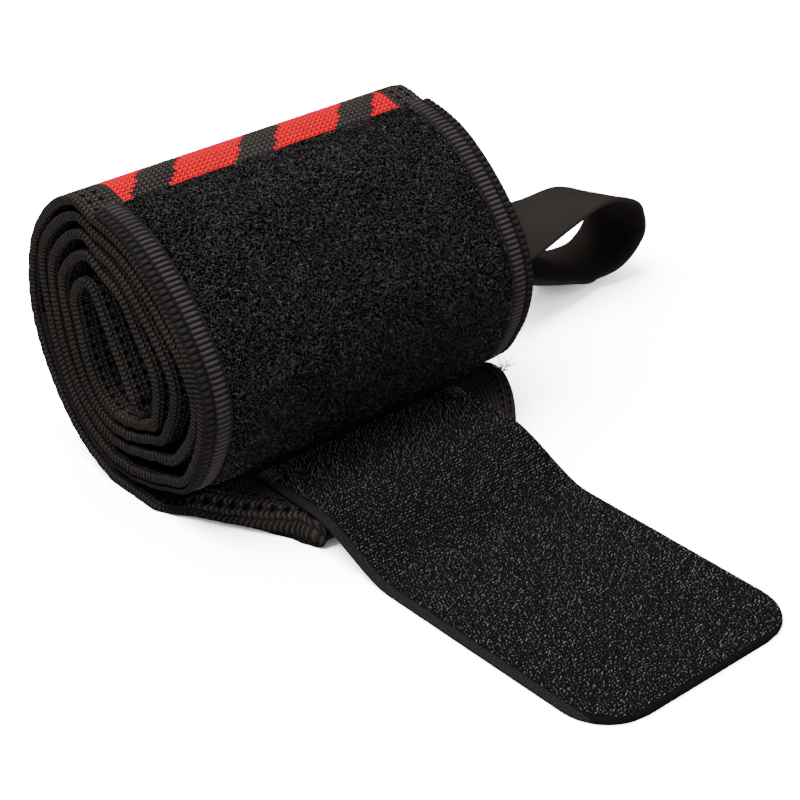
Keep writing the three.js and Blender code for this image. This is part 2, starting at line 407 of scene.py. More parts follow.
def tube_faces(stations: int, sides: int, count: int = 1) -> list[np.ndarray]:
    """Faces of closed tubes whose rings of points follow one another.

    Args:
        stations: Rings of each tube.
        sides: Points of each ring.
        count: How many tubes.

    Returns:
        The quads between neighbouring rings, and the faces over the tubes' ends.
    """
    i, k = np.meshgrid(np.arange(stations - 1), np.arange(sides), indexing="ij")
    here, after = i * sides, (k + 1) % sides
    quads = np.stack([here + k, here + after, here + sides + after, here + sides + k], axis=-1)
    starts = np.arange(count)[:, None] * stations * sides
    quads = (starts[..., None] + quads.reshape(-1, 4)).reshape(-1, 4)
    first = starts + np.arange(sides)[::-1]
    last = starts + (stations - 1) * sides + np.arange(sides)
    return [quads, np.vstack([first, last])]


def swept(rings: np.ndarray, u: np.ndarray, v: np.ndarray) -> MeshParts:
    """A closed solid through a row of rings, with a face over each end.

    Args:
        rings: Points by station and place round the ring.
        u: First texture place of the points, in a shape that spreads over stations and places.
        v: Second texture place, likewise.

    Returns:
        The mesh, with quads between neighbouring rings.
    """
    places = np.empty((*rings.shape[:2], 2))
    places[..., 0], places[..., 1] = u, v
    return MeshParts(rings.reshape(-1, 3), tube_faces(*rings.shape[:2]), places.reshape(-1, 2))


def tubes(paths: np.ndarray, radius: np.ndarray, sides: int, seeds: np.ndarray) -> MeshParts:
    """Many short round threads as one mesh.

    Args:
        paths: Centre points by thread and place along it.
        radius: Radius, in a shape that spreads over threads and places.
        sides: Sides of each thread's section.
        seeds: One number for each thread, kept as its texture place.

    Returns:
        The mesh, each thread closed at both ends.
    """
    count, stations = paths.shape[:2]
    along = unit(np.gradient(paths, axis=1))
    guide = np.where(np.abs(along[..., 2:]) > 0.9, [1.0, 0.0, 0.0], [0.0, 0.0, 1.0])
    across = unit(np.cross(along, guide))
    upward = np.cross(along, across)
    turned = (np.arange(sides) * 2 * np.pi / sides)[:, None]
    reach = np.broadcast_to(radius, (count, stations))[:, :, None, None]
    ring = (
        paths[:, :, None]
        + reach * np.cos(turned) * across[:, :, None]
        + reach * np.sin(turned) * upward[:, :, None]
    )
    places = np.empty((count, stations, sides, 2))
    places[..., 0] = seeds[:, None, None]
    places[..., 1] = np.linspace(0, 1, stations)[:, None]
    return MeshParts(ring.reshape(-1, 3), tube_faces(stations, sides, count), places.reshape(-1, 2))


def raised(line: np.ndarray, x: np.ndarray, rise: np.ndarray) -> np.ndarray:
    """Points over a line in the Y Z plane, on the side to its right.

    Args:
        line: The line's points, one a station.
        x: Places across, in a shape that spreads over stations and places round.
        rise: Heights over the line, likewise.

    Returns:
        Points by station and place round.
    """
    x, rise, _ = np.broadcast_arrays(x, rise, line[:, :1])
    yz = line[:, None] - left_of(line)[:, None] * rise[..., None]
    return np.concatenate([x[..., None], yz], axis=-1)


# Node graphs


class Wire:
    """A value in a node graph, with arithmetic that adds the nodes it needs."""

    def __init__(self, graph: "Graph", socket: bpy.types.NodeSocket) -> None:
        """Keeps an output socket.

        Args:
            graph: The graph that the socket is in.
            socket: The output socket.
        """
        self.graph = graph
        self.socket = socket

    def math(self, operation: str, *others: "Wire | float") -> "Wire":
        """Adds a Math node that starts with this value.

        Args:
            operation: The node's operation.
            *others: Its further inputs.

        Returns:
            The node's result.
        """
        inputs = {i: value for i, value in enumerate((self, *others))}
        return self.graph.node("ShaderNodeMath", {"operation": operation}, inputs)

    def __add__(self, other: "Wire | float") -> "Wire":
        """This plus the other."""
        return self.math("ADD", other)

    __radd__ = __add__

    def __sub__(self, other: "Wire | float") -> "Wire":
        """This less the other."""
        return self.math("SUBTRACT", other)

    def __rsub__(self, other: float) -> "Wire":
        """The other less this."""
        return self.math("MULTIPLY", -1.0) + other

    def __mul__(self, other: "Wire | float") -> "Wire":
        """This times the other."""
        return self.math("MULTIPLY", other)

    __rmul__ = __mul__

    def __truediv__(self, other: "Wire | float") -> "Wire":
        """This divided by the other."""
        return self.math("DIVIDE", other)

    def __rtruediv__(self, other: float) -> "Wire":
        """The other divided by this."""
        return self.math("POWER", -1.0) * other

    def __pow__(self, other: "Wire | float") -> "Wire":
        """This to the power of the other."""
        return self.math("POWER", other)

    def __abs__(self) -> "Wire":
        """This without its sign."""
        return self.math("ABSOLUTE")

    def fraction(self) -> "Wire":
        """What is left of this past its whole number."""
        return self.math("FRACT")

    def floor(self) -> "Wire":
        """The whole number under this."""
        return self.math("FLOOR")

    def wave(self) -> "Wire":
        """Sine of this many whole turns."""
        return (self * (2 * math.pi)).math("SINE")

    def clipped(self) -> "Wire":
        """This kept from 0 to 1."""
        return self.math("MAXIMUM", 0.0).math("MINIMUM", 1.0)

    def ramp(self, low: float, high: float) -> "Wire":
        """A straight ramp from 0 at the low value to 1 at the high one.

        Args:
            low: Value where the ramp starts.
            high: Value where it ends.

        Returns:
            The ramp, kept from 0 to 1.
        """
        return ((self - low) / (high - low)).clipped()


class Graph:
    """The node graph of one material."""

    def __init__(self, name: str) -> None:
        """Starts a material with an empty graph.

        Args:
            name: The material's name.
        """
        self.material = bpy.data.materials.new(name)
        self.material.use_nodes = True
        self.tree = self.material.node_tree
        self.tree.nodes.clear()

    def node(self, kind: str, settings: dict, inputs: dict, output: int | str = 0) -> Wire:
        """Adds a node, sets it up and joins its inputs.

        Args:
            kind: The node's type.
            settings: Its properties, set before its sockets are used.
            inputs: Its input sockets by name or number, each a wire or a constant.
            output: Which output is wanted.

        Returns:
            The wanted output.
        """
        made = self.tree.nodes.new(kind)
        for key, value in settings.items():
            setattr(made, key, value)
        for key, value in inputs.items():
            if isinstance(value, Wire):
                self.tree.links.new(value.socket, made.inputs[key])
            else:
                made.inputs[key].default_value = value
        return Wire(self, made.outputs[output]) if made.outputs else Wire(self, None)

    def place(self) -> tuple[Wire, Wire]:
        """The piece's texture place.

        Returns:
            Its first part and its second part.
        """
        uv = self.node("ShaderNodeTexCoord", {}, {}, "UV")
        first, second = (self.node("ShaderNodeSeparateXYZ", {}, {0: uv}, part) for part in (0, 1))
        return first, second

    def noise(self, scale: float, detail: float = 2.0, seed: float = 0.0) -> Wire:
        """Soft noise in the piece's own space.

        Args:
            scale: Waves per metre.
            detail: Finer layers.
            seed: Shift that gives another pattern.

        Returns:
            Noise about a half.
        """
        place = self.node("ShaderNodeTexCoord", {}, {}, "Object")
        moved = self.node("ShaderNodeVectorMath", {"operation": "ADD"}, {0: place, 1: (seed, seed, seed)})
        return self.node("ShaderNodeTexNoise", {}, {"Vector": moved, "Scale": scale, "Detail": detail})

    def mix(self, share: Wire, low: "Wire | tuple", high: "Wire | tuple") -> Wire:
        """Blends two colours.

        Args:
            share: Share of the second colour.
            low: First colour.
            high: Second colour.

        Returns:
            The blended colour.
        """
        low, high = ((*c, 1.0) if isinstance(c, tuple) else c for c in (low, high))
        return self.node("ShaderNodeMix", {"data_type": "RGBA"}, {0: share, 6: low, 7: high}, 2)

    def finish(
        self, colour: Wire, roughness: float, height: Wire, depth: float, gloss: float = 0.0
    ) -> bpy.types.Material:
        """Ends the graph in a cloth shader.

        Args:
            colour: Base colour.
            roughness: Roughness.
            height: Bump height, from 0 to 1.
            depth: How deep the bump is, in millimetres.
            gloss: Specular level.

        Returns:
            The finished material.
        """
        bump = {"Height": height, "Distance": depth * METRES, "Strength": 1.0}
        inputs = {
            "Base Color": colour,
            "Roughness": roughness,
            "Normal": self.node("ShaderNodeBump", {}, bump),
            "Specular IOR Level": gloss,
        }
        shader = self.node("ShaderNodeBsdfPrincipled", {}, inputs)
        self.node("ShaderNodeOutputMaterial", {}, {"Surface": shader})
        return self.material


# Finishes


@dataclass(frozen=True)
class ElasticFinish:
    """Coarse warp-knitted elastic: columns of slanted stitches, with woven red bars on the outer turn.

    Two rows of small holes run along each edge. All lengths are in millimetres of the flat band, and
    pairs are the low and high end of a ramp.
    """

    bar_start: float
    bar_end: float
    dark: tuple = (0.0003, 0.00026, 0.00025)
    light: tuple = (0.0094, 0.0083, 0.0076)
    red: tuple = (0.1, 0.0006, 0.0024)
    red_shade: tuple = (0.03, 0.0002, 0.0006)
    half: float = 40.0
    column: float = 1.15
    row: float = 0.95
    slant: float = 0.55
    edge_shade: tuple = (0.0, 0.9)
    # painted shade: the hem's layers, which lie under the roll, are 8 percent darker up to this stretch of
    # the band
    painted_hem_shade: tuple = (66.0, 84.0)
    hole_pitch: float = 2.3
    hole_insets: tuple = (2.2, 4.6)
    hole_size: tuple = (0.3, 0.75)
    bar_width: float = 15.0
    bar_left: float = -25.0
    bar_pitch: float = 24.0
    bar_slant: float = 0.9
    bar_reach: float = 33.0

    def material(self) -> bpy.types.Material:
        """Builds the material.

        Returns:
            The knitted elastic, its stitches running along the band.
        """
        g = Graph("elastic")
        along, across = g.place()
        column = across / self.column
        beside = abs(column.fraction() - 0.5) * 2
        row = along / self.row + beside * self.slant
        stitch = (1 - beside**2.4).clipped() * (0.55 + 0.45 * row.wave())
        patchy = g.noise(70, 2, 3.0)
        height = stitch * 0.75 + g.noise(2600, 3) * 0.35
        edge = self.half - abs(across)
        ahead = ((along / self.hole_pitch).fraction() - 0.5) * self.hole_pitch
        for inset in self.hole_insets:
            far = (ahead**2 + (edge - inset) ** 2) ** 0.5
            height = height * far.ramp(*self.hole_size)
        tone = (height * 0.95 + patchy * 0.35 - 0.12).clipped() ** 1.3
        # the last factor is painted shade that darkens the hem under the roll
        tone = tone * (0.5 + 0.5 * edge.ramp(*self.edge_shade)) * (0.92 + 0.08 * along.ramp(*self.painted_hem_shade))
        black = g.mix(tone, self.dark, self.light)
        cell_along = (along / self.row).floor() * self.row
        cell_across = column.floor() * self.column
        shift = (cell_along - self.bar_end) * self.bar_slant
        bars = ((cell_across - self.bar_left + shift) / self.bar_pitch).fraction()
        inside = bars.math("LESS_THAN", self.bar_width / self.bar_pitch)
        inside = inside * cell_along.math("GREATER_THAN", self.bar_start)
        inside = inside * cell_along.math("LESS_THAN", self.bar_end)
        inside = inside * abs(cell_across).math("LESS_THAN", self.bar_reach)
        red = g.mix((height * 1.5).clipped(), self.red_shade, self.red)
        return g.finish(g.mix(inside, black, red), 0.85, height, 0.5)


@dataclass(frozen=True)
class PileFinish:
    """The ground under the pile: matted dark fibres."""

    dark: tuple = (0.00006, 0.00006, 0.00006)
    light: tuple = (0.0078, 0.0073, 0.0073)

    def material(self) -> bpy.types.Material:
        """Builds the material.

        Returns:
            The matted ground, with a curly fine noise.
        """
        g = Graph("pile")
        patchy = g.noise(120, 3, 1.0)
        curls = g.noise(2700, 2).ramp(0.45, 0.65)
        fine = g.noise(900, 2, 4.0)
        height = curls * 0.6 + fine * 0.25 + patchy * 0.15
        tone = (curls * (0.35 + fine * 0.6) * (0.5 + patchy)).clipped()
        return g.finish(g.mix(tone, self.dark, self.light), 0.95, height, 0.45)


@dataclass(frozen=True)
class ThreadFinish:
    """A thread or fibre whose tone varies from one to the next; a larger bias makes fewer light ones."""

    name: str
    dark: tuple
    light: tuple
    bias: float
    gloss: float
    roughness: float = 0.5

    def material(self) -> bpy.types.Material:
        """Builds the material.

        Returns:
            The thread, each with its own shade by its texture place.
        """
        g = Graph(self.name)
        seed, _ = g.place()
        colour = g.mix(seed.clipped() ** self.bias, self.dark, self.light)
        return g.finish(colour, self.roughness, g.noise(4000, 1), 0.02, self.gloss)


# painted sheen: these lighter fibres stand for glints on the black loops, painted into their colour
SHEEN_FIBRE = ThreadFinish("pile_fibre_painted_sheen", (0.0008, 0.0008, 0.0008), (0.03, 0.0284, 0.0284), 1.5, 0.004)
DARK_FIBRE = ThreadFinish("pile_fibre_dark", (0.0001, 0.0001, 0.0001), (0.0125, 0.0118, 0.0118), 1.3, 0.004)
# painted glint: the hooks' grey, well above the tape's, stands for light caught by the black hooks
HOOK_PAINTED_GLINT = ThreadFinish("hook", (0.001, 0.001, 0.001), (0.026, 0.0247, 0.025), 1.3, 0.05, 0.35)
TACK = ThreadFinish("tack_thread", (0.001, 0.001, 0.001), (0.0075, 0.0071, 0.0071), 1.0, 0.03)
LOOSE = ThreadFinish("pale_thread", (0.01, 0.009, 0.008), (0.05, 0.048, 0.045), 1.0, 0.1)


@dataclass(frozen=True)
class EdgeFinish:
    """The ribbed edge strip: cross ribs beside a row of darker knit blocks, grey on raised parts (partly own
    colour, partly painted sheen) and dark on low parts; painted shade darkens the outer side.
    """

    dark: tuple = (0.0014, 0.0012, 0.0012)
    light: tuple = (0.007, 0.006, 0.0064)
    block: tuple = (0.0034, 0.003, 0.003)
    block_end: tuple = (2.0, 2.4)
    shade: tuple = (0.72, 1.18)
    outer_shade: tuple = (0.1, 0.5)

    def material(self) -> bpy.types.Material:
        """Builds the material.

        Returns:
            The strip, shaded by its distance from the band's edge and its height, in the texture places.
        """
        g = Graph("ribbed_edge")
        inset, lift = g.place()
        fuzz = g.noise(3000, 3)
        patchy = g.noise(90, 2, 5.0)
        top = g.mix(inset.ramp(*self.block_end), self.block, self.light)
        # raised parts take the top colour, which is partly painted sheen, and low parts go dark
        tone = (lift.ramp(*self.shade) * (0.45 + patchy * 0.9) * (0.4 + fuzz * 1.2)).clipped()
        # painted shade: the strip's outer side is darkened further
        tone = tone * (0.3 + 0.7 * inset.ramp(*self.outer_shade))
        return g.finish(g.mix(tone, self.dark, top), 0.8, fuzz, 0.06)


@dataclass(frozen=True)
class TapeFinish:
    """The woven tape under the hooks, with a ribbed selvage on the left."""

    dark: tuple = (0.00008, 0.00008, 0.00008)
    light: tuple = (0.002, 0.0019, 0.0019)
    selvage: tuple = (0.005, 0.0046, 0.0047)
    half: float = 25.0
    thread: float = 0.5
    rib: float = 1.1
    selvage_end: tuple = (1.9, 1.5)

    def material(self) -> bpy.types.Material:
        """Builds the material.

        Returns:
            The woven tape.
        """
        g = Graph("hook_tape")
        along, across = g.place()
        warp = abs((across / self.thread).wave())
        weft = abs((along / self.thread + (across / self.thread).floor() * 0.5).wave())
        fuzz = g.noise(2500, 3)
        height = warp * 0.3 + weft * 0.25 + fuzz * 0.55
        edge = (across + self.half).ramp(*self.selvage_end)
        ribs = 0.35 + 0.65 * abs((along / self.rib).wave())
        tone = height.clipped() ** 2.2 * (1 - edge) + edge * ribs * fuzz
        colour = g.mix(tone.clipped(), self.dark, g.mix(edge, self.light, self.selvage))
        return g.finish(colour, 0.7, height, 0.12)


@dataclass(frozen=True)
class LoopFinish:
    """Narrow smooth elastic: fine columns along it and finer cross threads."""

    dark: tuple = (0.0013, 0.0011, 0.001)
    light: tuple = (0.0037, 0.0032, 0.0029)
    column: float = 0.55
    row: float = 0.5

    def material(self) -> bpy.types.Material:
        """Builds the material.

        Returns:
            The narrow elastic.
        """
        g = Graph("loop_elastic")
        along, across = g.place()
        column = abs((across / self.column).wave())
        cross = abs((along / self.row + (across / self.column).floor() * 0.5).wave())
        height = column * 0.45 + cross * 0.25 + g.noise(3200, 3) * 0.3
        tone = (height * 0.7 + g.noise(80, 2, 7.0) * 0.4 - 0.1).clipped()
        return g.finish(g.mix(tone, self.dark, self.light), 0.88, height, 0.1)


@dataclass(frozen=True)
class FloorFinish:
    """A plain pale floor."""

    colour: tuple = (0.93, 0.93, 0.93)

    def material(self) -> bpy.types.Material:
        """Builds the material.

        Returns:
            The floor's matt white.
        """
        g = Graph("floor")
        patchy = g.noise(2, 1)
        colour = g.mix(patchy, self.colour, tuple(c * 0.995 for c in self.colour))
        return g.finish(colour, 0.9, patchy, 0.0, 0.1)


# The winding


@dataclass
class Winding:
    """The band's line in the Y Z plane, from its folded hem round the roll to the core."""

    roll: RollSizes
    panel: PanelSizes
    tab: TabSizes
    cover: float = field(init=False)
    stack: float = field(init=False)
    panel_end: float = field(init=False)
    hem_top: float = field(init=False)
    tab_seat: float = field(init=False)
    tab_back: float = field(init=False)
    hem_front: float = field(init=False)
    narrow: float = field(init=False)
    hem_count: int = field(init=False)
    line: np.ndarray = field(init=False)

    def __post_init__(self) -> None:
        """Works out the derived sizes and the whole line."""
        roll, tab = self.roll, self.tab
        self.cover = self.panel.thickness + roll.sew_gap
        self.stack = roll.thickness + roll.turn_gap
        inner = roll.radius - self.cover - self.stack
        self.panel_end = self.panel.start + math.degrees(self.panel.length / inner)
        self.hem_top = 3 * roll.thickness + 2 * roll.hem_gap
        self.tab_seat = self.hem_top + roll.sew_gap
        self.tab_back = self.front_at(self.tab_seat + tab.thickness + tab.headroom)
        self.hem_front = self.tab_back - roll.hem_length
        self.narrow = tab.width / 2 + roll.hem_border
        hem = self.hem_line()
        self.hem_count = len(hem)
        self.line = np.vstack([hem, self.rolled_line(hem[-1])])

    def outline(self, angle: np.ndarray) -> np.ndarray:
        """Radius of the roll's outline: a closed Catmull-Rom curve through the table, above the floor.

        Args:
            angle: Degrees from the back, over the top.

        Returns:
            The radius in millimetres.
        """
        count = len(OUTLINE)
        turned = np.mod(angle + 90.0, 360.0) * count / 360.0
        row = np.floor(turned).astype(int)
        u = turned - row
        a, b, c, d = (OUTLINE[(row + k) % count] for k in (-1, 0, 1, 2))
        share = b + 0.5 * u * (c - a + u * (2 * a - 5 * b + 4 * c - d + u * (3 * (b - c) + d - a)))
        down = -np.sin(np.radians(angle))
        floor = np.where(down > 0, 1 / np.maximum(down, 1e-6), np.inf)
        return self.roll.radius * np.minimum(share, floor)

    def radius(self, angle: np.ndarray) -> np.ndarray:
        """Radius of the band's outer face at an angle of the winding, which runs on from turn to turn.

        Args:
            angle: Degrees of winding.

        Returns:
            Inside the first turn, the radius one turn back less the stack and the slack.
        """
        roll, angle = self.roll, np.asarray(angle, float)
        slack = roll.radius * stepped(SLACK[:, 0], SLACK[:, 1], angle)
        covered = smooth((angle - self.panel.start + roll.panel_rise) / roll.panel_rise)
        on_tail = smooth((angle - roll.tail_start) / roll.tail_rise)
        outer = self.outline(angle) - self.cover * covered
        outer = outer - (self.stack + roll.turn_gap + slack) * on_tail
        inside = angle >= roll.first_turn
        if not inside.any():
            return outer
        room = (self.cover + roll.turn_gap) * (1 - smooth((angle - self.panel_end) / roll.panel_fall))
        before = self.radius(np.where(inside, angle - 360, 0.0))
        return np.where(inside, before - self.stack - room - slack, outer)

    def point(self, angle: np.ndarray) -> np.ndarray:
        """Points of the band's outer face in the winding.

        Args:
            angle: Degrees of winding.

        Returns:
            Y and Z of each point.
        """
        radius = self.radius(angle)
        turned = np.radians(angle)
        return np.stack([radius * np.cos(turned), self.roll.radius + radius * np.sin(turned)], axis=-1)

    def front_at(self, height: float) -> float:
        """Y at which the roll's front face stands at a height, found by halving.

        Args:
            height: Height above the floor.

        Returns:
            The front face's Y, the panel included.
        """
        low, high = 180.0, 262.0
        while high - low > 0.01:
            middle = (low + high) / 2
            reach = (float(self.radius(np.array([middle]))[0]) + self.cover) * math.sin(math.radians(middle))
            low, high = (middle, high) if self.roll.radius + reach > height else (low, middle)
        return (float(self.radius(np.array([low]))[0]) + self.cover) * math.cos(math.radians(low))

    def hem_line(self) -> np.ndarray:
        """The outer face in the hem: the cut end inside, round two folds, then down to the floor.

        Returns:
            Y and Z of each point.
        """
        roll = self.roll
        outer = self.hem_top / 2
        hem_back = self.tab_back + roll.hem_tuck
        back = hem_back - roll.thickness - roll.hem_gap / 2
        front = self.hem_front + outer
        inner = roll.thickness + roll.hem_gap
        start = np.array([[front, inner]])
        under = straight(start[0], np.array([back, inner]), HEM_STEPS)
        back_fold = arc_from(under[-1], 0.0, -roll.hem_gap / 2, math.pi, 6)
        middle = straight(back_fold[-1], np.array([front, roll.thickness]), HEM_STEPS)
        front_fold = arc_from(middle[-1], math.pi, roll.thickness - outer, math.pi, 16)
        over = straight(front_fold[-1], np.array([hem_back, 2 * inner]), HEM_STEPS)
        share = np.arange(1, 13) / 12
        ramp = np.stack([hem_back + roll.hem_ramp * share, 2 * inner * (1 - smooth(share))], axis=1)
        return np.vstack([start, under, back_fold, middle, front_fold, over, ramp])

    def rolled_line(self, start: np.ndarray) -> np.ndarray:
        """The outer face under the roll, round the winding and across the core.

        Args:
            start: Where the hem ends.

        Returns:
            Y and Z of each point.
        """
        roll = self.roll
        flat = straight(start, np.zeros(2), 8)
        turns = self.point(np.arange(roll.winding_start, roll.winding_end + 0.1, TURN_STEP))
        before, last = turns[-2:]
        heading = math.atan2(last[1] - before[1], last[0] - before[0])
        lean = math.radians(roll.tongue_lean)
        turn = (math.pi + lean - heading) % (2 * math.pi)
        bend = arc_from(last, heading, roll.tongue_bend, turn, 14)
        tongue = -roll.tongue_length * np.array([math.cos(lean), math.sin(lean)])
        return np.vstack([flat, turns, bend, straight(bend[-1], bend[-1] + tongue, TONGUE_STEPS)])

    def edge(self, front: float, length: float) -> np.ndarray:
        """Distance from the band's middle to one edge: it tapers to the tab's width at the hem.

        Args:
            front: From the hem's front fold to where the band starts to widen.
            length: Length of the taper.

        Returns:
            The distances, whose taper is bent by its bow, and the full half width behind the hem.
        """
        roll = self.roll
        share = np.clip(1 - (self.line[:, 0] - self.hem_front - front) / length, 0, 1)
        half = roll.width / 2 + (self.narrow - roll.width / 2) * share**roll.taper_bow
        half[self.hem_count :] = roll.width / 2
        return half

    def length_at(self, angle: float) -> float:
        """Length along the band up to an angle of the first turn.

        Args:
            angle: Degrees of winding, under 270.

        Returns:
            The length in millimetres.
        """
        lengths = lengths_along(self.line)
        place = self.point(np.array([angle]))[0]
        near = self.line[: self.hem_count + 200]
        return float(lengths[int(np.argmin(np.linalg.norm(near - place, axis=1)))])


# Pieces


class Slot(Enum):
    """The record's material slots."""

    ELASTIC = "elastic"
    PILE = "loop_pile"
    EDGE = "ribbed_edge"
    TAPE = "hook_tape"
    LOOP = "loop_elastic"


def kept(piece: bpy.types.Object, slot: Slot, *nodes: str) -> bpy.types.Object:
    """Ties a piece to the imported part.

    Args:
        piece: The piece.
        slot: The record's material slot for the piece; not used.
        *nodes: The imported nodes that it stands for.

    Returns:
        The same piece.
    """
    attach(piece, "root")
    if nodes:
        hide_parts(*nodes)
    LOG.info("%s: %d faces", piece.name, len(piece.data.polygons))
    return piece


@dataclass
class Band:
    """The woven elastic band in its winding, with the hem's layers pressed down along its sides.

    The line's first points, which are the hem's inner layers, are tucked in where the band is wide. The
    hem's front corners are rounded, and its sides are pressed by a share that fades out over a reach. The
    edges have a ripple from row to row and a longer sway.
    """

    winding: Winding
    rounding: float = 0.62
    ripple: float = 0.06
    ripple_pitch: float = 0.95
    sway: float = 0.08
    sway_length: float = 7.0
    edge_gap: float = 0.12
    inner_points: int = 36
    tucked: float = 4.6
    corner: float = 6.0
    pressed_left: float = 0.78
    pressed_right: float = 0.4
    reach_narrow: float = 1.5
    reach_left: float = 4.6
    reach_right: float = 1.8

    def profile(self) -> tuple[np.ndarray, np.ndarray, np.ndarray]:
        """The band's section, once round: flat faces and quarter circles at the four corners.

        Returns:
            Each point's side as a share of the half width, its inset from the edge and its depth under
            the outer face.
        """
        bend = np.linspace(0, np.pi / 2, 5)
        wide = np.array([0.25, 0.5, 0.7, 0.82, 0.88, 0.92, 0.95])
        flat = np.concatenate([-wide[::-1], [0.0], wide])
        ones, level = np.ones(len(bend)), np.zeros(len(flat))
        inwards = self.rounding * (1 - np.cos(bend))
        upper = self.rounding * (1 - np.sin(bend))
        lower = self.winding.roll.thickness - upper
        side = np.concatenate([-ones, flat, ones, ones, -flat, -ones])
        inset = np.concatenate([inwards, level, inwards[::-1], inwards, level, inwards[::-1]])
        bottom = level + self.winding.roll.thickness
        depth = np.concatenate([upper, level, upper[::-1], lower, bottom, lower[::-1]])
        return side, inset, depth

    def build(self, material: bpy.types.Material) -> bpy.types.Object:
        """Sweeps the band's section along its line, with slightly wavy edges.

        Args:
            material: The knitted elastic.

        Returns:
            The band.
        """
        w, roll = self.winding, self.winding.roll
        lengths = lengths_along(w.line)
        left = w.edge(roll.left_taper_front, roll.left_taper_length)
        right = w.edge(roll.right_taper_front, roll.right_taper_length)
        side, inset, depth = self.profile()
        station = np.arange(len(lengths))[:, None]
        wave = self.ripple * np.sin(lengths / self.ripple_pitch * 2 * np.pi)
        wave = wave + self.sway * np.sin(lengths / self.sway_length)
        half = np.where(side < 0, left[:, None], right[:, None])
        widened = np.clip((half - w.narrow) / (roll.width / 2 - w.narrow), 0, 1)
        half = half - self.tucked * widened * (station < self.inner_points)
        short = np.clip(1 - (w.line[:, :1] - w.hem_front) / self.corner, 0, 1)
        half = half - self.corner * (1 - np.sqrt(1 - short**2))
        at_edge = np.where(np.abs(side) == 1, 1.0, 0.0)
        x = side * half - np.sign(side) * (inset + at_edge * (self.edge_gap + wave[:, None]))
        reach = np.where(side < 0, self.reach_left, self.reach_right)
        reach = self.reach_narrow + (reach - self.reach_narrow) * widened
        pressed = np.where(side < 0, self.pressed_left, self.pressed_right)
        in_hem = 1 - smooth((station - w.hem_count + 6) / 12)
        rings = raised(w.line, x, -depth)
        rings[..., 2] *= 1 - pressed * in_hem * smooth(1 - (half - np.abs(x)) / reach)
        across = side * roll.width / 2 - np.sign(side) * inset
        parts = swept(rings, lengths[:, None], across)
        piece = kept(parts.to_object("elastic_band_knit", material), Slot.ELASTIC, "elastic_band")
        LOG.info("band length %.0f mm", lengths[-1])
        return piece


